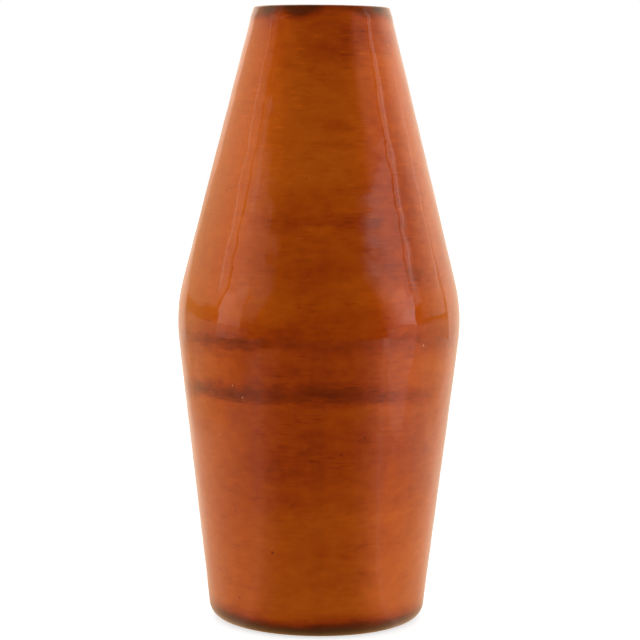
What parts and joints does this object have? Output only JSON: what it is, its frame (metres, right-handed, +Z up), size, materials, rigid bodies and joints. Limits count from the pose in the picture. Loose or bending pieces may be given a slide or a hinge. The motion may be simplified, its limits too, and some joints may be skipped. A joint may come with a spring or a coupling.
{
  "type": "vase",
  "caption": "Tall shouldered metal vase with a straight conical neck and plain round mouth, glossy orange enamel over spun copper, standing on a flat foot ring.",
  "frame": {"origin": "middle of the foot ring, on the surface that the vase stands on", "axes": "+Z up along the axis that the vase is turned round; -Y is the side that the picture shows, with +X to its right"},
  "size_m": [0.12, 0.12, 0.26],
  "materials": {
    "copper": "satin",
    "braze": "satin",
    "orange_enamel": "gloss",
    "lining_enamel": "gloss",
    "foot_enamel": "gloss"
  },
  "bodies": {
    "root": {"lower_shell": "copper", "upper_shell": "copper", "seam_weld": "braze", "outer_enamel": "orange_enamel", "inner_enamel": "lining_enamel", "foot_enamel": "foot_enamel"}
  },
  "joints": []
}
